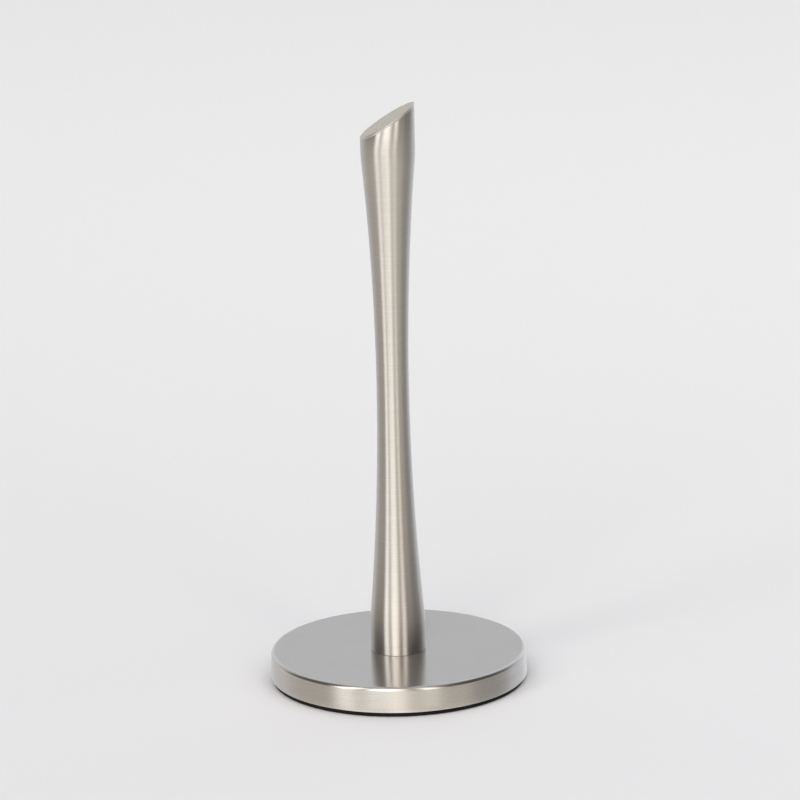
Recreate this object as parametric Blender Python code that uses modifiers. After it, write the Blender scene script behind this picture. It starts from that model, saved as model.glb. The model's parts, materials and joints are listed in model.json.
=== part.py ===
"""Free-standing paper towel holder: a waisted steel post, slant cut and capped, bolted
from beneath to a weighted round base.

Metres, +Z up. The origin is the middle of the face that the holder stands on. The slanted
top rises towards +X and leans a little towards -Y, the front.
"""

from math import asin, cos, pi, radians, sin, sqrt

import bpy
from mathutils import Matrix, Vector

COLLECTION = "paper_towel_holder"

# Driving dimensions, in metres.
HEIGHT = 0.350
BASE_R = 0.075
BASE_TOP = 0.0180
GAP = 0.0003  # between neighbouring pieces

PAD_R = 0.0736
PAD_HOLE_R = 0.0150
PAD_THICKNESS = 0.0025
PAD_EDGE_R = 0.0005

COVER_THICKNESS = 0.0008
COVER_TOP_R = 0.0746  # where the drawn wall meets the rounded top edge
COVER_EDGE_R = 0.0024

PLATE_THICKNESS = 0.0008
PLATE_R = 0.0738
CUP_R = 0.0115  # inside of the dished seat that hides the bolt head
CUP_CORNER_R = 0.0016
WEIGHT_R = 0.0728
WEIGHT_CHAMFER = 0.0026

POST_R = 0.0160
WAIST_R = 0.0095
POST_WALL = 0.0012
FOOT_STRAIGHT_END = 0.0385  # the post is a plain tube below this height
TOP_STRAIGHT_START = 0.3195  # and above this one
CUT_ANGLE = radians(32.4)
CUT_HEADING = radians(-7)  # the way the cut rises, turned from +X
CAP_THICKNESS = 0.0012

BOLT_R = 0.0039  # M8 thread, drawn as a plain shank
BOLT_CLEARANCE_R = 0.0045
BOLT_LENGTH = 0.025
BOLT_HEAD_R = 0.0070
BOLT_HEAD_HEIGHT = 0.0044
BOLT_HEAD_RECESS = 0.0010  # from the pad's top face up to the head
BOLT_DOME_R = 0.0033
BOLT_TIP_CHAMFER = 0.0008
SOCKET_ACROSS_FLATS = 0.0050
SOCKET_DEPTH = 0.0026
SPRING_WASHER_R = 0.0072
SPRING_WASHER_THICKNESS = 0.0020
SPRING_WASHER_SLIT = 0.0010
SPRING_WASHER_SLANT = radians(20)
FLAT_WASHER_R = 0.0080
FLAT_WASHER_THICKNESS = 0.0016
NUT_ACROSS_FLATS = 0.0130
NUT_HEIGHT = 0.0065
NUT_HOLE_R = 0.0042
FOOT_THICKNESS = 0.0040

BASE_STEPS = 64
POST_STEPS = 48
FASTENER_STEPS = 24
ARC_SEGMENTS = 16  # along the post's long arc
EDGE_SEGMENTS = 4  # round a small edge

# Heights that follow from the stack under the post, from the table up.
SHELL_BOTTOM = PAD_THICKNESS + GAP
HEAD_BOTTOM = PAD_THICKNESS + BOLT_HEAD_RECESS
SPRING_WASHER_BOTTOM = HEAD_BOTTOM + BOLT_HEAD_HEIGHT + GAP
FLAT_WASHER_BOTTOM = SPRING_WASHER_BOTTOM + SPRING_WASHER_THICKNESS + GAP
SEAT = FLAT_WASHER_BOTTOM + FLAT_WASHER_THICKNESS + GAP
WEIGHT_BOTTOM = SHELL_BOTTOM + PLATE_THICKNESS + GAP
WEIGHT_TOP = BASE_TOP - COVER_THICKNESS - GAP
POST_BOTTOM = BASE_TOP + GAP
NUT_BOTTOM = POST_BOTTOM + FOOT_THICKNESS + GAP
BLANK_TOP = HEIGHT + POST_R / 2 - POST_BOTTOM  # end of the uncut post over its foot

STEEL = (0.56, 0.55, 0.53)
CAST_IRON = (0.08, 0.08, 0.085)
ZINC = (0.50, 0.50, 0.48)
BLACK_RUBBER = (0.012, 0.012, 0.013)


def clear_scene():
    """Remove every object that the file opened with."""
    for old in list(bpy.data.objects):
        bpy.data.objects.remove(old, do_unlink=True)


def new_collection(name):
    """A collection in the scene."""
    made = bpy.data.collections.new(name)
    bpy.context.scene.collection.children.link(made)
    return made


def material(name, color, roughness, metallic):
    """A plain Principled material."""
    made = bpy.data.materials.new(name)
    made.use_nodes = True
    shader = made.node_tree.nodes["Principled BSDF"]
    shader.inputs["Base Color"].default_value = (*color, 1)
    shader.inputs["Roughness"].default_value = roughness
    shader.inputs["Metallic"].default_value = metallic
    return made


def place(made, parent, height, finish=None):
    """Put an object of the holder at a height above its parent's origin."""
    if finish:
        made.data.materials.append(finish)
    made.parent = parent
    made.location = (0, 0, height)
    return made


def corner(r, z, radius, start, end):
    """Points of an arc about (r, z) in the profile plane, from one angle to another."""
    steps = range(EDGE_SEGMENTS + 1)
    angles = [start + (end - start) * i / EDGE_SEGMENTS for i in steps]
    return [(r + radius * cos(a), z + radius * sin(a)) for a in angles]


def turned(name, profile, steps, closed=True):
    """A profile of (r, z) points turned about Z. It runs down its outer side first."""
    count = len(profile)
    edges = [(i, i + 1) for i in range(count - 1)]
    if closed:
        edges.append((count - 1, 0))
    mesh = bpy.data.meshes.new(name)
    mesh.from_pydata([(r, 0, z) for r, z in profile], edges, [])
    made = bpy.data.objects.new(name, mesh)
    parts.objects.link(made)
    screw = made.modifiers.new("turn", "SCREW")
    screw.axis = "Z"
    screw.angle = 2 * pi
    screw.steps = steps
    screw.render_steps = steps
    screw.use_merge_vertices = True
    screw.merge_threshold = 0.00001
    screw.use_smooth_shade = True
    return made


def thicken(made, thickness):
    """Give a turned open surface its sheet thickness, inwards."""
    solid = made.modifiers.new("sheet", "SOLIDIFY")
    solid.thickness = thickness
    solid.offset = -1
    solid.use_even_offset = True
    return made


def ring(name, outer_r, inner_r, height, chamfer, steps):
    """A flat ring standing on z = 0, with its outer edges chamfered."""
    profile = [
        (outer_r - chamfer, height),
        (outer_r, height - chamfer),
        (outer_r, chamfer),
        (outer_r - chamfer, 0),
        (inner_r, 0),
        (inner_r, height),
    ]
    return turned(name, profile, steps)


def move_to(collection, name):
    """Name the object just made and put it in a collection alone."""
    made = bpy.context.object
    made.name = name
    for owner in list(made.users_collection):
        owner.objects.unlink(made)
    collection.objects.link(made)
    return made


def as_cutter(name):
    """Keep the object just made as a cutter: drawn as wire and never rendered."""
    made = move_to(cutters, name)
    made.hide_render = True
    made.display_type = "WIRE"
    return made


def hexagon_r(across_flats):
    """The radius through the corners of a hexagon."""
    return across_flats / sqrt(3)


def cut(made, cutter, operation="DIFFERENCE"):
    """Cut an object with a cutter."""
    tool = made.modifiers.new("cut", "BOOLEAN")
    tool.operation = operation
    tool.object = cutter
    tool.solver = "EXACT"


def post_profile():
    """The outside of the post, top to bottom: a tube necked down along one long arc."""
    half_span = (TOP_STRAIGHT_START - FOOT_STRAIGHT_END) / 2
    sag = POST_R - WAIST_R
    arc_r = (half_span**2 + sag**2) / (2 * sag)
    waist = (TOP_STRAIGHT_START + FOOT_STRAIGHT_END) / 2 - POST_BOTTOM
    sweep = asin(half_span / arc_r)
    arc = []
    for i in range(ARC_SEGMENTS + 1):
        angle = sweep * (1 - 2 * i / ARC_SEGMENTS)
        arc.append((WAIST_R + arc_r * (1 - cos(angle)), waist + arc_r * sin(angle)))
    return [(POST_R, BLANK_TOP), *arc, (POST_R, 0)]


def cut_plane(below):
    """The slanted top's plane, moved down along its normal, as a matrix with its Z outwards."""
    turn = Matrix.Rotation(CUT_HEADING, 4, "Z") @ Matrix.Rotation(-CUT_ANGLE, 4, "Y")
    normal = turn @ Vector((0, 0, 1))
    tip = Matrix.Rotation(CUT_HEADING, 4, "Z") @ Vector((POST_R, 0, HEIGHT))
    level = tip.dot(normal) - below
    middle = Vector((0, 0, level / normal.z))
    return Matrix.Translation(middle) @ turn


def slab(name, low, high):
    """A wide cutter lying along the slanted top, between two depths under its face."""
    width = 6 * POST_R
    bpy.ops.mesh.primitive_cube_add(size=1)
    box = as_cutter(name)
    box.matrix_world = cut_plane((low + high) / 2) @ Matrix.Diagonal((width, width, low - high, 1))
    return box


def make_base():
    """Shell, weight, bottom plate and pad, all turned about the post's axis."""
    edge_r = COVER_TOP_R - COVER_EDGE_R
    edge = corner(edge_r, BASE_TOP - COVER_EDGE_R, COVER_EDGE_R, pi / 2, 0)
    profile = [(BOLT_CLEARANCE_R, BASE_TOP), *edge, (BASE_R, SHELL_BOTTOM)]
    cover = turned("base_cover", profile, BASE_STEPS, closed=False)
    place(thicken(cover, COVER_THICKNESS), None, 0, steel)

    shoulder = WEIGHT_R - WEIGHT_CHAMFER
    seat_top = SEAT + PLATE_THICKNESS + GAP
    cup_outside = CUP_R + PLATE_THICKNESS + GAP
    mouth = cup_outside + CUP_CORNER_R
    profile = [
        (shoulder, WEIGHT_TOP),
        (WEIGHT_R, WEIGHT_TOP - WEIGHT_CHAMFER),
        (WEIGHT_R, WEIGHT_BOTTOM),
        (mouth, WEIGHT_BOTTOM),
        (cup_outside, WEIGHT_BOTTOM + CUP_CORNER_R),
        (cup_outside, seat_top),
        (BOLT_CLEARANCE_R, seat_top),
        (BOLT_CLEARANCE_R, WEIGHT_TOP),
    ]
    place(turned("base_weight", profile, BASE_STEPS), None, 0, iron)

    flat = (CUP_R + CUP_CORNER_R, SHELL_BOTTOM)
    profile = [(BOLT_CLEARANCE_R, SEAT), (CUP_R, SEAT), (CUP_R, SHELL_BOTTOM + CUP_CORNER_R), flat]
    profile.append((PLATE_R, SHELL_BOTTOM))
    plate = turned("base_plate", profile[::-1], BASE_STEPS, closed=False)
    place(thicken(plate, PLATE_THICKNESS), None, 0, zinc)

    pad = ring("non_slip_pad", PAD_R, PAD_HOLE_R, PAD_THICKNESS, PAD_EDGE_R, BASE_STEPS)
    place(pad, None, 0, rubber)


def make_post(axis):
    """Necked tube, welded cap and threaded foot, all carried by the post's empty."""
    tube = turned("post_tube", post_profile(), POST_STEPS, closed=False)
    thicken(tube, POST_WALL)
    cut(tube, slab("tube_end_cutter", CAP_THICKNESS + GAP, -4 * POST_R))
    place(tube, axis, 0, steel)

    low_end = HEIGHT - 3 * POST_R - POST_BOTTOM
    profile = [(0, BLANK_TOP), (POST_R, BLANK_TOP), (POST_R, low_end), (0, low_end)]
    cap = turned("top_cap", profile, POST_STEPS, closed=False)
    cut(cap, slab("cap_slab", CAP_THICKNESS, 0), "INTERSECT")
    place(cap, axis, 0, steel)

    foot_r = POST_R - POST_WALL - GAP
    foot = ring("post_foot", foot_r, BOLT_CLEARANCE_R, FOOT_THICKNESS, 0.0004, POST_STEPS)
    place(foot, axis, 0, zinc)
    make_nut(axis)


def make_nut(axis):
    """The hexagonal nut welded on the foot disc."""
    bpy.ops.mesh.primitive_cylinder_add(
        vertices=6, radius=hexagon_r(NUT_ACROSS_FLATS), depth=NUT_HEIGHT
    )
    nut = move_to(parts, "weld_nut")
    middle = NUT_BOTTOM + NUT_HEIGHT / 2
    bpy.ops.mesh.primitive_cylinder_add(
        vertices=FASTENER_STEPS,
        radius=NUT_HOLE_R,
        depth=2 * NUT_HEIGHT,
        location=(0, 0, middle),
    )
    cut(nut, as_cutter("nut_hole_cutter"))
    place(nut, axis, middle - POST_BOTTOM, zinc)


def make_bolt(axis):
    """Button-head bolt on its own empty, its head down, with a hexagon socket."""
    head = corner(BOLT_HEAD_R - BOLT_DOME_R, BOLT_DOME_R, BOLT_DOME_R, 0, -pi / 2)
    tip = BOLT_HEAD_HEIGHT + BOLT_LENGTH
    profile = [(0, tip), (BOLT_R - BOLT_TIP_CHAMFER, tip), (BOLT_R, tip - BOLT_TIP_CHAMFER)]
    profile += [(BOLT_R, BOLT_HEAD_HEIGHT), (BOLT_HEAD_R, BOLT_HEAD_HEIGHT), *head, (0, 0)]
    bolt = turned("fixing_bolt", profile, FASTENER_STEPS, closed=False)
    bpy.ops.mesh.primitive_cylinder_add(
        vertices=6,
        radius=hexagon_r(SOCKET_ACROSS_FLATS),
        depth=2 * SOCKET_DEPTH,
        location=(0, 0, HEAD_BOTTOM),
    )
    cut(bolt, as_cutter("hex_socket_cutter"))
    place(bolt, axis, 0, zinc)


def make_washers():
    """The split spring washer on the bolt's head, and the flat one under the seat."""
    hole_r = BOLT_R + GAP
    thickness = SPRING_WASHER_THICKNESS
    spring = ring("spring_washer", SPRING_WASHER_R, hole_r, thickness, 0.0001, FASTENER_STEPS)
    bpy.ops.mesh.primitive_cube_add(size=1)
    slit = as_cutter("washer_slit_cutter")
    slit.scale = (2 * SPRING_WASHER_R, SPRING_WASHER_SLIT, 3 * thickness)
    slit.rotation_euler = (SPRING_WASHER_SLANT, 0, 0)
    slit.location = (SPRING_WASHER_R, 0, SPRING_WASHER_BOTTOM + thickness / 2)
    cut(spring, slit)
    place(spring, None, SPRING_WASHER_BOTTOM, zinc)

    thickness = FLAT_WASHER_THICKNESS
    flat = ring("flat_washer", FLAT_WASHER_R, hole_r, thickness, 0.0002, FASTENER_STEPS)
    place(flat, None, FLAT_WASHER_BOTTOM, zinc)


def empty_on_axis(name, height):
    """An empty on the holder's axis, for a body that moves along it or turns about it."""
    made = bpy.data.objects.new(name, None)
    parts.objects.link(made)
    made.location = (0, 0, height)
    return made


clear_scene()
parts = new_collection(COLLECTION)
cutters = new_collection("cutters")
steel = material("brushed_steel", STEEL, 0.3, 1)
iron = material("cast_iron", CAST_IRON, 0.7, 0.6)
zinc = material("zinc_plate", ZINC, 0.35, 1)
rubber = material("rubber", BLACK_RUBBER, 0.75, 0)

make_base()
make_post(empty_on_axis("post_axis", POST_BOTTOM))
make_bolt(empty_on_axis("bolt_axis", HEAD_BOTTOM))
make_washers()
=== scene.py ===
"""Looks of the paper towel holder: brushed stainless steel on a pale studio floor."""

import json
from math import cos, pi, radians, sin, sqrt, tan

import bpy
from mathutils import Matrix, Vector


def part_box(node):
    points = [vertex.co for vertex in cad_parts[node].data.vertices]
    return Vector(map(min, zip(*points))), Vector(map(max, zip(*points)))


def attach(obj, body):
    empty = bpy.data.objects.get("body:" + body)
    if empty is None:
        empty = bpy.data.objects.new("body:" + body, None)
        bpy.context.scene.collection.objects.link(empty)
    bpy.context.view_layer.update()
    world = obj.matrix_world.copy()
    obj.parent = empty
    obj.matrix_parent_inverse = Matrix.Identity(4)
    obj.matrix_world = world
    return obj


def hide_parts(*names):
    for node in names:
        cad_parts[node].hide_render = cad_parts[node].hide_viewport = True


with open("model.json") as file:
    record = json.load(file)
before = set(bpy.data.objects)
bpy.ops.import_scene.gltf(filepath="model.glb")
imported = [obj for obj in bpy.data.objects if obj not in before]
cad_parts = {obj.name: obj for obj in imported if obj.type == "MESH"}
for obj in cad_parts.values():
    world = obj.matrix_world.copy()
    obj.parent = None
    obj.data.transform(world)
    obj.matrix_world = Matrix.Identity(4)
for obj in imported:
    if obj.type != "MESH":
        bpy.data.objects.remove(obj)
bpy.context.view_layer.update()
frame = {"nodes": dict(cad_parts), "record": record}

# The CAD's own sizes, read from the frame, in metres.
COVER_LOW, COVER_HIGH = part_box("base_cover")
PAD_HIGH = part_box("non_slip_pad")[1]
TUBE_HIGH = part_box("post_tube")[1]
CAP_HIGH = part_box("top_cap")[1]
BOLT_LOW, BOLT_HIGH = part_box("fixing_bolt")

BASE_R = COVER_HIGH.x
BASE_TOP = COVER_HIGH.z
LIP_Z = COVER_LOW.z
PAD_R = PAD_HIGH.x
PAD_HOLE_R = 0.0150
POST_R = TUBE_HIGH.x
POST_FOOT_Z = BASE_TOP + 0.00005
TIP_Z = CAP_HIGH.z

# The post's outline and its slanted end, as in the CAD.
WAIST_R = 0.0095
FOOT_STRAIGHT_END = 0.0385
TOP_STRAIGHT_START = 0.3195
KINK_SOFTNESS = 0.005  # half the height over which the arc runs into a straight end
CUT_SLOPE = tan(radians(32.4))
CUT_HEADING = radians(-7)
CAP_THICKNESS = 0.0012
POST_WALL = 0.0012
CAP_EDGE_R = 0.00035
SEAM_DEPTH = 0.00005  # the ground weld line between tube and cap
SEAM_WIDTH = 0.00012
SEAM_GAP = 0.00002
FOOT_ROUND = 0.0003

# The drawn shell of the base.
SHELL_THICKNESS = 0.0008
WALL_TOP_R = 0.0746
EDGE_R = 0.0024
LIP_ROUND = 0.0005
BOLT_HOLE_R = 0.0045

ROUND = 256  # segments round the large turned pieces


def mesh_object(name, verts, faces):
    """A mesh from its points and faces, shaded smooth."""
    mesh = bpy.data.meshes.new(name)
    mesh.from_pydata(verts, [], faces)
    mesh.validate()
    mesh.shade_smooth()
    made = bpy.data.objects.new(name, mesh)
    bpy.context.scene.collection.objects.link(made)
    return made


def lofted(name, rings):
    """Quads between rings of equally many points, the last ring joined to the first."""
    count = len(rings[0])
    verts = [point for ring in rings for point in ring]
    faces = []
    for j in range(len(rings)):
        a, b = j * count, (j + 1) % len(rings) * count
        for i in range(count):
            n = (i + 1) % count
            faces.append((a + i, b + i, b + n, a + n))
    return mesh_object(name, verts, faces)


def circle(r, z, segments=ROUND):
    """Points of a level circle about the post's axis."""
    turns = [2 * pi * i / segments for i in range(segments)]
    return [(r * cos(t), r * sin(t), z) for t in turns]


def turned(name, profile):
    """A closed profile of (r, z) points, outer side running down first, turned about Z."""
    return lofted(name, [circle(r, z) for r, z in profile])


def arc(r, z, radius, start, end, segments=8):
    """Points of an arc in the profile plane, angles in degrees."""
    angles = [radians(start + (end - start) * i / segments) for i in range(segments + 1)]
    return [(r + radius * cos(a), z + radius * sin(a)) for a in angles]


def finish_piece(made, body, finish, slot, *nodes):
    """Give a piece its material, tell the frame what it rides on, and hide the CAD nodes it replaces."""
    made.data.materials.append(finish)
    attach(made, body)
    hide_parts(*nodes)
    return made


# ---------------------------------------------------------------- the post


def arc_radius(z):
    """Radius of the necked stretch of the post at a height."""
    half = (TOP_STRAIGHT_START - FOOT_STRAIGHT_END) / 2
    sag = POST_R - WAIST_R
    big = (half**2 + sag**2) / (2 * sag)
    away = z - (TOP_STRAIGHT_START + FOOT_STRAIGHT_END) / 2
    return WAIST_R + big - sqrt(big**2 - away**2)


def post_radius(z):
    """Outer radius of the post at a height, with the two kinks eased."""
    total = 0.0
    samples = 9
    for i in range(samples):
        level = z + KINK_SOFTNESS * (2 * i / (samples - 1) - 1)
        straight = level < FOOT_STRAIGHT_END or level > TOP_STRAIGHT_START
        total += POST_R if straight else arc_radius(level)
    return min(total / samples, POST_R)


def cut_height(x, y, below=0.0):
    """Height of the slanted top over a point, or of a plane a little below it."""
    along = x * cos(CUT_HEADING) + y * sin(CUT_HEADING)
    return TIP_Z - CUT_SLOPE * (POST_R - along) - below * sqrt(1 + CUT_SLOPE**2)


def slanted_ring(r, below):
    """A ring of points on a cylinder where it meets the slanted plane."""
    return [(x, y, cut_height(x, y, below)) for x, y, _ in circle(r, 0)]


def make_tube(finish):
    """The necked tube: outside, slanted end, inside and foot."""
    levels = [FOOT_STRAIGHT_END - 0.008 + 0.002 * i for i in range(9)]
    levels += [0.052 + 0.006 * i for i in range(43)]
    levels += [TOP_STRAIGHT_START - 0.0095 + 0.002 * i for i in range(9)]
    outside = [(post_radius(z), z) for z in levels]
    inside = [(r - POST_WALL, z) for r, z in outside]
    foot = arc(POST_R - FOOT_ROUND, POST_FOOT_Z + FOOT_ROUND, FOOT_ROUND, -90, 0, 4)
    rings = [circle(POST_R - POST_WALL, POST_FOOT_Z)]
    rings += [circle(r, z) for r, z in foot + outside]
    seam = CAP_THICKNESS + SEAM_GAP
    rings += [slanted_ring(POST_R, seam + SEAM_WIDTH), slanted_ring(POST_R - SEAM_DEPTH, seam)]
    rings += [slanted_ring(POST_R - POST_WALL, seam)]
    rings += [circle(r, z) for r, z in reversed(inside)]
    rings.reverse()
    tube = lofted("post_shell", rings)
    sharpen(tube, 40)
    return finish_piece(tube, "post", finish, "brushed_post", "post_tube")


def make_cap(finish):
    """The oval plate in the slanted end, ground flush with the tube."""
    rings = [slanted_ring(POST_R - SEAM_DEPTH, CAP_THICKNESS)]
    rings.append(slanted_ring(POST_R, CAP_THICKNESS - SEAM_WIDTH))
    for i in range(7):
        turn = radians(90 * i / 6)
        inset = CAP_EDGE_R * (1 - cos(turn))
        rings.append(slanted_ring(POST_R - inset, CAP_EDGE_R * (1 - sin(turn))))
    rings += [slanted_ring(POST_R * share, 0) for share in (0.96, 0.85, 0.6, 0.3)]
    rings.reverse()
    count = ROUND
    verts = [point for ring in rings for point in ring]
    faces = []
    for j in range(len(rings) - 1):
        for i in range(count):
            n = (i + 1) % count
            faces.append((j * count + i, (j + 1) * count + i, (j + 1) * count + n, j * count + n))
    last = (len(rings) - 1) * count
    middle_top, middle_low = len(verts), len(verts) + 1
    verts += [(0, 0, cut_height(0, 0)), (0, 0, cut_height(0, 0, CAP_THICKNESS))]
    for i in range(count):
        n = (i + 1) % count
        faces.append((middle_top, i, n))
        faces.append((middle_low, last + n, last + i))
    cap = mesh_object("cap_plate", verts, faces)
    sharpen(cap, 40)
    return finish_piece(cap, "post", finish, "brushed_cap", "top_cap")


def sharpen(made, angle):
    """Keep edges sharper than an angle crisp."""
    made.data.set_sharp_from_angle(angle=radians(angle))


# ---------------------------------------------------------------- the base


def make_cover(top_finish):
    """The drawn shell: flat top, rounded edge, leaning wall and trimmed lip."""
    edge = arc(WALL_TOP_R - EDGE_R, BASE_TOP - EDGE_R, EDGE_R, 90, 0, 14)
    lip = arc(BASE_R - LIP_ROUND, LIP_Z + LIP_ROUND, LIP_ROUND, 0, -90, 5)
    outer = [(BOLT_HOLE_R, BASE_TOP), (POST_R, BASE_TOP), (POST_R + 0.02, BASE_TOP)]
    outer += [(WALL_TOP_R - EDGE_R - 0.004, BASE_TOP), *edge]
    lean = BASE_R - WALL_TOP_R
    drop = BASE_TOP - EDGE_R - LIP_Z - LIP_ROUND
    outer += [(WALL_TOP_R + lean * i / 4, BASE_TOP - EDGE_R - drop * i / 4) for i in (1, 2, 3)]
    outer += lip
    inner_edge = arc(WALL_TOP_R - EDGE_R, BASE_TOP - EDGE_R, EDGE_R - SHELL_THICKNESS, 0, 90, 8)
    inner = [(BASE_R - SHELL_THICKNESS, LIP_Z), *inner_edge, (BOLT_HOLE_R, BASE_TOP - SHELL_THICKNESS)]
    cover = turned("base_shell", outer + inner)
    sharpen(cover, 50)
    return finish_piece(cover, "base", top_finish, "brushed_shell", "base_cover")


def make_pad(finish):
    """The rubber ring under the shell, its outer edge a little rounded."""
    r = 0.0006
    height = PAD_HIGH.z + 0.0001
    outer = arc(PAD_R - r, height - r, r, 90, 0, 5) + arc(PAD_R - r, r, r, 0, -90, 5)
    inner = [(PAD_HOLE_R + 0.0003, 0), (PAD_HOLE_R, 0.0003), (PAD_HOLE_R, height)]
    pad = turned("pad_ring", outer + inner)
    sharpen(pad, 50)
    return finish_piece(pad, "base", finish, "black_rubber", "non_slip_pad")


# ---------------------------------------------------------------- the bolt

THREAD_PITCH = 0.00125
THREAD_DEPTH = 0.00062
THREAD_CREST_R = 0.0039
BOLT_HEAD_R = 0.0070
BOLT_HEAD_HEIGHT = 0.0044
BOLT_DOME_R = 0.0033
SOCKET_ACROSS_FLATS = 0.0050
SOCKET_DEPTH = 0.0026
SOCKET_FLARE = 0.0003  # how much wider the socket is at its mouth
SOCKET_FLARE_DEPTH = 0.0002
DRILL_TIP_R = 0.0008
DRILL_TIP_DEPTH = 0.0005
BOLT_CHAMFER = 0.0008
HEAD_CORNER = 0.0001
GROOVE_SHARE = 0.42  # half the pitch share that the groove takes
UNDER_HEAD = 0.0012  # plain shank next to the head
BOLT_SEGMENTS = 96
ROWS_PER_TURN = 10


def thread_ring(z, first, last):
    """A ring of points round the threaded shank at a height, its crest winding upwards."""
    points = []
    fade = min((z - first) / THREAD_PITCH, (last - z) / THREAD_PITCH, 1.0)
    for i in range(BOLT_SEGMENTS):
        turn = i / BOLT_SEGMENTS
        step = ((z - first) / THREAD_PITCH - turn) % 1.0
        groove = max(0.0, 1 - abs(step - 0.5) / GROOVE_SHARE)
        r = THREAD_CREST_R - THREAD_DEPTH * groove * max(fade, 0.0)
        points.append((r * cos(2 * pi * turn), r * sin(2 * pi * turn), z))
    return points


def hexagon_ring(across_flats, z):
    """A ring of points round a hexagon."""
    points = []
    for i in range(BOLT_SEGMENTS):
        turn = 2 * pi * i / BOLT_SEGMENTS
        off = (turn + pi / 6) % (pi / 3) - pi / 6
        r = across_flats / 2 / cos(off)
        points.append((r * cos(turn), r * sin(turn), z))
    return points


def make_bolt(finish):
    """Button-head bolt, head down: threaded shank, domed head and hexagon socket."""
    low, high = BOLT_LOW.z, BOLT_HIGH.z
    seat = low + BOLT_HEAD_HEIGHT
    first = seat + UNDER_HEAD
    top = high - BOLT_CHAMFER
    rings = [circle(THREAD_CREST_R - BOLT_CHAMFER, high, BOLT_SEGMENTS)]
    rows = round((top - first) / THREAD_PITCH * ROWS_PER_TURN)
    for i in range(rows + 1):
        rings.append(thread_ring(top - (top - first) * i / rows, first, top))
    rings.append(circle(THREAD_CREST_R, seat, BOLT_SEGMENTS))
    rings.append(circle(BOLT_HEAD_R - HEAD_CORNER, seat, BOLT_SEGMENTS))
    rings.append(circle(BOLT_HEAD_R, seat - HEAD_CORNER, BOLT_SEGMENTS))
    dome = arc(BOLT_HEAD_R - BOLT_DOME_R, low + BOLT_DOME_R, BOLT_DOME_R, 0, -90, 10)
    rings += [circle(r, z, BOLT_SEGMENTS) for r, z in dome]
    rings.append(hexagon_ring(SOCKET_ACROSS_FLATS + SOCKET_FLARE, low))
    rings.append(hexagon_ring(SOCKET_ACROSS_FLATS, low + SOCKET_FLARE_DEPTH))
    rings.append(hexagon_ring(SOCKET_ACROSS_FLATS, low + SOCKET_DEPTH))
    rings.append(circle(DRILL_TIP_R, low + SOCKET_DEPTH + DRILL_TIP_DEPTH, BOLT_SEGMENTS))
    count = BOLT_SEGMENTS
    verts = [point for ring in rings for point in ring]
    faces = [tuple(range(count))[::-1], tuple(range(len(verts) - count, len(verts)))]
    for j in range(len(rings) - 1):
        for i in range(count):
            n = (i + 1) % count
            a, b = j * count, (j + 1) * count
            faces.append((a + i, a + n, b + n, b + i))
    bolt = mesh_object("button_bolt", verts, faces)
    sharpen(bolt, 35)
    return finish_piece(bolt, "bolt", finish, "zinc_plate", "fixing_bolt")


# ---------------------------------------------------------------- materials


NOISE_ROUGHNESS = 0.55


class Nodes:
    """A short hand for building a node tree."""

    def __init__(self, tree):
        self.tree = tree

    def add(self, kind, **settings):
        node = self.tree.nodes.new(kind)
        for key, value in settings.items():
            setattr(node, key, value)
        return node

    def link(self, out, socket):
        self.tree.links.new(out, socket)

    def math(self, operation, a, b=None, c=None):
        node = self.add("ShaderNodeMath", operation=operation)
        for socket, value in zip(node.inputs, (a, b, c)):
            if value is None:
                continue
            if isinstance(value, (int, float)):
                socket.default_value = value
            else:
                self.link(value, socket)
        return node.outputs[0]

    def scaled(self, vector, scale):
        node = self.add("ShaderNodeVectorMath", operation="MULTIPLY")
        self.link(vector, node.inputs[0])
        if isinstance(scale, tuple):
            node.inputs[1].default_value = scale
        else:
            self.link(scale, node.inputs[1])
        return node.outputs[0]

    def noise(self, vector, scale, detail):
        node = self.add("ShaderNodeTexNoise")
        self.link(vector, node.inputs["Vector"])
        node.inputs["Scale"].default_value = scale
        node.inputs["Detail"].default_value = detail
        node.inputs["Roughness"].default_value = NOISE_ROUGHNESS
        return node.outputs["Fac"]

    def spread(self, value, low, high, to_low=0.0, to_high=1.0, smooth=False):
        node = self.add("ShaderNodeMapRange")
        if smooth:
            node.interpolation_type = "SMOOTHSTEP"
        self.link(value, node.inputs["Value"])
        for socket, number in zip(list(node.inputs)[1:5], (low, high, to_low, to_high)):
            socket.default_value = number
        return node.outputs["Result"]

    def blend(self, factor, a, b):
        node = self.add("ShaderNodeMix", data_type="RGBA")
        self.link(factor, node.inputs["Factor"])
        for socket, color in ((node.inputs["A"], a), (node.inputs["B"], b)):
            if isinstance(color, tuple):
                socket.default_value = (*color, 1)
            else:
                self.link(color, socket)
        return node.outputs["Result"]


def new_material(name):
    """An empty material, its nodes, and its Principled shader."""
    made = bpy.data.materials.new(name)
    made.use_nodes = True
    nodes = Nodes(made.node_tree)
    return made, nodes, made.node_tree.nodes["Principled BSDF"]


STEEL_TONE = (0.63, 0.61, 0.59)
CAP_TONE = (0.72, 0.675, 0.62)
ZINC_TONE = (0.55, 0.55, 0.54)
RING_GRAIN = (40.0, 40.0, 9000.0)
STRAIGHT_GRAIN = (60.0, 9000.0, 60.0)
SATIN_GRAIN = (1200.0, 2400.0, 1200.0)
QUARTER_TURN = 0.25


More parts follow.
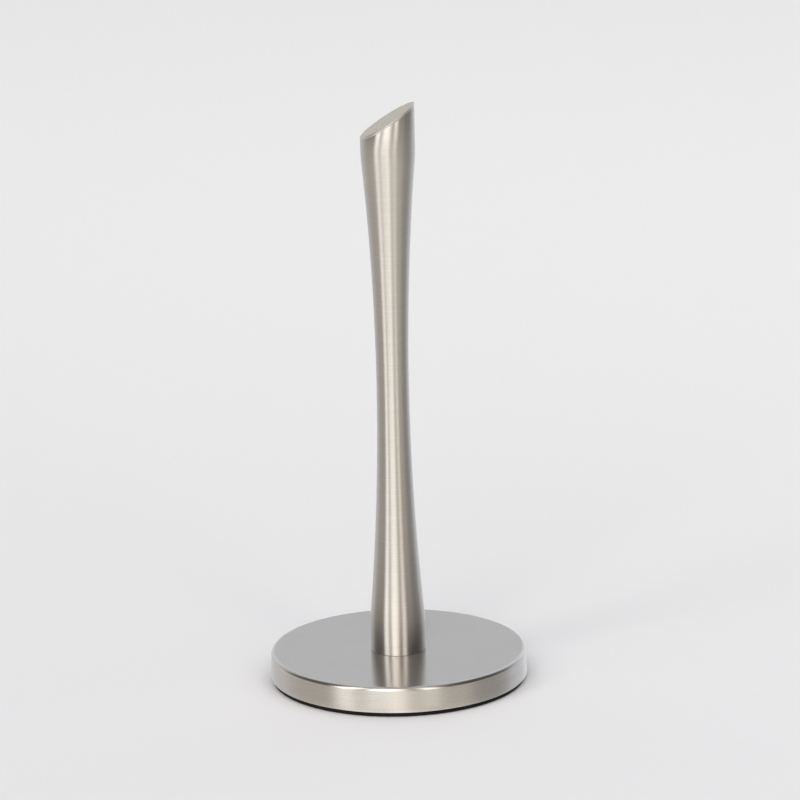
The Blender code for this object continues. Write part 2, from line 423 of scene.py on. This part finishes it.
def brushed_steel(name, grain, roughness, anisotropy, tone, coarse=0.2, contrast=0.12):
    """Stainless steel with fine brush lines.

    grain scales the piece's x, y and z so that the lines run where the scale is small, and
    coarse is the share of the wider lines among the fine ones. Tone is the steel's colour
    and contrast how far the lines go from it.
    """
    made, nodes, shader = new_material(name)
    where = nodes.add("ShaderNodeTexCoord").outputs["Object"]
    lines = nodes.noise(nodes.scaled(where, grain), 1.0, 2.0)
    broad = tuple(g * 0.16 for g in grain)
    bands = nodes.noise(nodes.scaled(where, broad), 1.0, 2.0)
    cloud = nodes.noise(where, 28.0, 2.0)
    specks = nodes.noise(where, 2400.0, 1.0)
    fine = nodes.math("MULTIPLY_ADD", specks, 0.3, nodes.math("MULTIPLY", lines, 0.7))
    mixed = nodes.math("MULTIPLY_ADD", fine, 1 - coarse, nodes.math("MULTIPLY", bands, coarse))
    darker = tuple(c * (1 - contrast) for c in tone)
    lighter = tuple(c * (1 + 0.75 * contrast) for c in tone)
    nodes.link(nodes.blend(nodes.spread(mixed, 0.35, 0.65), darker, lighter), shader.inputs["Base Color"])
    rough = nodes.spread(mixed, 0.3, 0.7, roughness - 0.03, roughness + 0.03)
    uneven = nodes.spread(cloud, 0.3, 0.7, -0.008, 0.008)
    nodes.link(nodes.math("ADD", rough, uneven), shader.inputs["Roughness"])
    bump = nodes.add("ShaderNodeBump")
    bump.inputs["Strength"].default_value = 0.06
    bump.inputs["Distance"].default_value = 0.00002
    nodes.link(fine, bump.inputs["Height"])
    nodes.link(bump.outputs["Normal"], shader.inputs["Normal"])
    shader.inputs["Metallic"].default_value = 1.0
    shader.inputs["Anisotropic"].default_value = anisotropy
    return made, nodes, shader


def ring_brushed(name, roughness, anisotropy):
    """Steel brushed in rings round the post's axis."""
    made, nodes, shader = brushed_steel(name, RING_GRAIN, roughness, anisotropy, STEEL_TONE)
    way = nodes.add("ShaderNodeTangent", direction_type="RADIAL", axis="Z")
    nodes.link(way.outputs["Tangent"], shader.inputs["Tangent"])
    shader.inputs["Anisotropic Rotation"].default_value = QUARTER_TURN
    return made


def straight_brushed(name, roughness, anisotropy):
    """Steel brushed in straight lines from side to side."""
    made, nodes, shader = brushed_steel(
        name, STRAIGHT_GRAIN, roughness, anisotropy, STEEL_TONE, coarse=0.08
    )
    way = nodes.add("ShaderNodeCombineXYZ")
    way.inputs["Y"].default_value = 1.0
    nodes.link(way.outputs[0], shader.inputs["Tangent"])
    return made


def rubber(name):
    """Black rubber with a fine grain and a faint bloom of dust."""
    made, nodes, shader = new_material(name)
    where = nodes.add("ShaderNodeTexCoord").outputs["Object"]
    fine = nodes.noise(where, 2600.0, 3.0)
    patch = nodes.noise(where, 60.0, 3.0)
    color = nodes.blend(nodes.spread(patch, 0.35, 0.75), (0.004, 0.004, 0.0045), (0.010, 0.010, 0.010))
    nodes.link(color, shader.inputs["Base Color"])
    nodes.link(nodes.spread(fine, 0.3, 0.7, 0.62, 0.85), shader.inputs["Roughness"])
    shader.inputs["Specular IOR Level"].default_value = 0.2
    bump = nodes.add("ShaderNodeBump")
    bump.inputs["Strength"].default_value = 0.5
    bump.inputs["Distance"].default_value = 0.00008
    nodes.link(fine, bump.inputs["Height"])
    nodes.link(bump.outputs["Normal"], shader.inputs["Normal"])
    return made


def plated(name, tone, roughness):
    """Zinc plate: a soft blue-grey spangle over fine pitting."""
    made, nodes, shader = new_material(name)
    where = nodes.add("ShaderNodeTexCoord").outputs["Object"]
    spangle = nodes.noise(where, 420.0, 2.0)
    darker = tuple(c * 0.8 for c in tone)
    nodes.link(nodes.blend(nodes.spread(spangle, 0.3, 0.7), darker, tone), shader.inputs["Base Color"])
    nodes.link(
        nodes.spread(spangle, 0.3, 0.7, roughness - 0.06, roughness + 0.06),
        shader.inputs["Roughness"],
    )
    shader.inputs["Metallic"].default_value = 1.0
    return made


def cast_iron(name):
    """Rough dark casting."""
    made, nodes, shader = new_material(name)
    where = nodes.add("ShaderNodeTexCoord").outputs["Object"]
    sand = nodes.noise(where, 900.0, 5.0)
    color = nodes.blend(nodes.spread(sand, 0.3, 0.7), (0.05, 0.05, 0.052), (0.11, 0.11, 0.11))
    nodes.link(color, shader.inputs["Base Color"])
    nodes.link(nodes.spread(sand, 0.3, 0.7, 0.6, 0.85), shader.inputs["Roughness"])
    bump = nodes.add("ShaderNodeBump")
    bump.inputs["Distance"].default_value = 0.0003
    nodes.link(sand, bump.inputs["Height"])
    nodes.link(bump.outputs["Normal"], shader.inputs["Normal"])
    shader.inputs["Metallic"].default_value = 0.6
    return made


def dress_cad_nodes():
    """Materials for the hidden pieces, which keep their CAD shapes."""
    finishes = {"zinc_plate": plated("zinc", ZINC_TONE, 0.34), "cast_iron": cast_iron("iron")}
    for row in frame["record"]["subparts"]:
        node = frame["nodes"][row["node"]]
        if row["material_slot"] in finishes:
            node.data.materials.clear()
            node.data.materials.append(finishes[row["material_slot"]])


def refinish(made, finish, chosen):
    """Give the faces that pass a test another finish."""
    made.data.materials.append(finish)
    index = len(made.data.materials) - 1
    for face in made.data.polygons:
        if chosen(face):
            face.material_index = index


def make_object():
    """Every visible piece with its finish."""
    make_tube(ring_brushed("steel_post", 0.31, 1.0))
    edge_steel = ring_brushed("steel_edge", 0.22, 0.6)
    cap = make_cap(brushed_steel("steel_cap", SATIN_GRAIN, 0.60, 0.0, CAP_TONE, contrast=0.24)[0])
    facing = Vector((-CUT_SLOPE * cos(CUT_HEADING), -CUT_SLOPE * sin(CUT_HEADING), 1)).normalized()
    refinish(cap, edge_steel, lambda face: face.normal.dot(facing) < 0.999)
    top_steel = straight_brushed("steel_base_top", 0.235, 1.0)
    rim_steel = ring_brushed("steel_base_rim", 0.28, 0.9)
    cover = make_cover(top_steel)
    refinish(cover, edge_steel, lambda face: face.center.z < BASE_TOP - 0.00001)
    refinish(cover, rim_steel, lambda face: face.center.z < BASE_TOP - EDGE_R)
    make_pad(rubber("rubber_pad"))
    make_bolt(plated("zinc_bolt", ZINC_TONE, 0.30))
    dress_cad_nodes()


# ---------------------------------------------------------------- studio

CAMERA_DISTANCE = 8.0
CAMERA_HEIGHT = 2.6612
CAMERA_YAW = 0.0005
CAMERA_PITCH = 0.3019
CAMERA_ROLL = -0.0216
CAMERA_LENS = 647.63
SENSOR = 36.0


def make_camera():
    """A long lens above the holder, looking down at it and leaning slightly."""
    data = bpy.data.cameras.new("camera")
    data.lens = CAMERA_LENS
    data.sensor_width = SENSOR
    data.clip_end = 60
    camera = bpy.data.objects.new("camera", data)
    bpy.context.scene.collection.objects.link(camera)
    ahead = Vector(
        (
            sin(CAMERA_YAW) * cos(CAMERA_PITCH),
            cos(CAMERA_YAW) * cos(CAMERA_PITCH),
            -sin(CAMERA_PITCH),
        )
    )
    level = Vector((cos(CAMERA_YAW), -sin(CAMERA_YAW), 0))
    upright = level.cross(ahead)
    right = cos(CAMERA_ROLL) * level + sin(CAMERA_ROLL) * upright
    up = cos(CAMERA_ROLL) * upright - sin(CAMERA_ROLL) * level
    turn = Matrix((right, up, -ahead)).transposed().to_4x4()
    camera.matrix_world = Matrix.Translation((0, -CAMERA_DISTANCE, CAMERA_HEIGHT)) @ turn
    bpy.context.scene.camera = camera


def make_floor():
    """A wide pale floor, which metal doesn't mirror: the world stands in for it there."""
    bpy.ops.mesh.primitive_grid_add(x_subdivisions=8, y_subdivisions=8, size=24)
    floor = bpy.context.object
    floor.name = "floor"
    floor.visible_glossy = False
    made, nodes, shader = new_material("floor_paper")
    where = nodes.add("ShaderNodeTexCoord").outputs["Object"]
    back = nodes.add("ShaderNodeSeparateXYZ")
    nodes.link(where, back.inputs[0])
    # Painted light: the floor's colour is made lighter towards the back, standing in for the studio light
    # falling brighter on it there.
    far = nodes.spread(back.outputs["Y"], -0.2, 1.2, smooth=True)
    nodes.link(nodes.blend(far, (0.76, 0.765, 0.80), (0.845, 0.855, 0.885)), shader.inputs["Base Color"])
    shader.inputs["Roughness"].default_value = 0.9
    shader.inputs["Specular IOR Level"].default_value = 0.0
    floor.data.materials.append(made)


# The studio as metal mirrors it, read round the holder: azimuth from the camera in
# degrees (positive to its right), light from below the horizon, light from above it,
# and how warm that light is.
STUDIO = (
    (-180, 0.84, 0.76, -0.6),  # pale backdrop
    (-150, 0.68, 0.82, -0.1),
    (-124, 0.72, 0.60, 0.6),
    (-114, 0.67, 0.20, 0.8),  # unlit left side
    (-98, 0.63, 0.16, 1.1),
    (-64, 0.66, 0.20, 1.2),
    (-54, 0.88, 2.65, 0.7),  # left soft box
    (-46, 0.96, 2.50, 0.7),
    (-39, 0.93, 0.64, 0.8),
    (-31, 0.93, 0.64, 0.8),
    (-25, 0.74, 2.50, 0.7),  # middle soft box
    (-14, 0.73, 2.50, 0.8),
    (-4, 1.14, 2.10, 1.0),
    (4, 1.16, 1.20, 1.2),
    (10, 0.96, 0.56, 1.2),  # the photographer's gap
    (17, 0.88, 0.38, 1.2),
    (24, 0.70, 1.85, 1.1),  # right soft box
    (33, 0.64, 1.85, 1.1),
    (41, 0.72, 0.30, 1.2),
    (64, 0.72, 0.15, 1.2),  # unlit right side
    (76, 0.50, 0.13, 1.0),
    (96, 0.44, 0.13, 0.7),
    (110, 0.48, 0.20, 0.1),
    (122, 0.68, 0.46, -0.3),
    (146, 0.74, 0.90, -0.6),
    (158, 0.90, 0.90, -0.6),
    (180, 0.84, 0.76, -0.6),
)
BRIGHTEST = 3.5  # what the ramps' white stands for
CEILING = 0.50
HIGH_CONTRAST = 1.22  # the soft boxes stand out more the higher one looks
FLOOR_UNDERFOOT = 1.95  # how much brighter the floor is straight down
SEEN_BACKGROUND = (0.80, 0.80, 0.82)


def tinted(light, warmth):
    """A ramp colour for a light level and how warm it is."""
    share = light / BRIGHTEST
    return (share, share * (1 - 0.05 * warmth), share * (1 - 0.13 * warmth), 1)


def studio_ramp(nodes, turn, column):
    """Light by azimuth, from a column of STUDIO."""
    ramp = nodes.add("ShaderNodeValToRGB")
    nodes.link(turn, ramp.inputs["Fac"])
    stops = ramp.color_ramp.elements
    while len(stops) < len(STUDIO):
        stops.new(1.0)
    for stop, row in zip(stops, STUDIO):
        stop.position = (row[0] + 180) / 360
        stop.color = tinted(row[column], row[3])
    return ramp.outputs["Color"]


def make_world():
    """Light from all round, with the bright and dark stretches that steel mirrors."""
    world = bpy.data.worlds.new("studio")
    bpy.context.scene.world = world
    world.use_nodes = True
    nodes = Nodes(world.node_tree)
    background = world.node_tree.nodes["Background"]
    direction = nodes.add("ShaderNodeTexCoord").outputs["Generated"]
    parts = nodes.add("ShaderNodeSeparateXYZ")
    nodes.link(direction, parts.inputs[0])
    toward = nodes.math("MULTIPLY", parts.outputs["Y"], -1.0)
    azimuth = nodes.math("ARCTAN2", parts.outputs["X"], toward)
    turn = nodes.spread(azimuth, -pi, pi)
    height = nodes.math("DEGREES", nodes.math("ARCSINE", parts.outputs["Z"]))
    below = nodes.scaled(
        studio_ramp(nodes, turn, 1), nodes.spread(height, -75, -25, FLOOR_UNDERFOOT, 1.0, smooth=True)
    )
    upper = nodes.add("ShaderNodeGamma")
    nodes.link(studio_ramp(nodes, turn, 2), upper.inputs["Color"])
    nodes.link(nodes.spread(height, 4, 24, 1.0, HIGH_CONTRAST), upper.inputs["Gamma"])
    level = nodes.spread(height, 4, 24, 1.0, BRIGHTEST ** (HIGH_CONTRAST - 1))
    above = nodes.spread(height, -8, 6, smooth=True)
    walls = nodes.blend(above, below, nodes.scaled(upper.outputs["Color"], level))
    ceiling = nodes.spread(height, 56, 70, smooth=True)
    room = nodes.blend(ceiling, walls, tinted(CEILING, 0)[:3])
    seen = tuple(c / BRIGHTEST for c in SEEN_BACKGROUND)
    path = nodes.add("ShaderNodeLightPath")
    color = nodes.blend(path.outputs["Is Camera Ray"], room, seen)
    nodes.link(color, background.inputs["Color"])
    background.inputs["Strength"].default_value = BRIGHTEST
    bpy.context.scene.view_settings.view_transform = "Standard"


# Lamps: place, size in metres and power in watts. Metal doesn't mirror them.
LAMPS = (
    ("key", (-1.3, -1.1, 2.3), 2.4, 7),
    ("fill", (1.4, -0.6, 1.9), 2.2, 12),
    ("top", (0.1, 0.9, 2.8), 3.0, 13),
)


def make_lamps():
    """Large soft lamps over the holder, for the floor and the rubber."""
    for name, place, size, power in LAMPS:
        data = bpy.data.lights.new(name, "AREA")
        data.shape = "DISK"
        data.size = size
        data.energy = power
        lamp = bpy.data.objects.new(name, data)
        lamp.location = place
        lamp.rotation_euler = Vector(place).to_track_quat("Z", "Y").to_euler()
        lamp.visible_glossy = False
        lamp.visible_camera = False
        bpy.context.scene.collection.objects.link(lamp)


make_object()
make_camera()
make_floor()
make_world()
make_lamps()
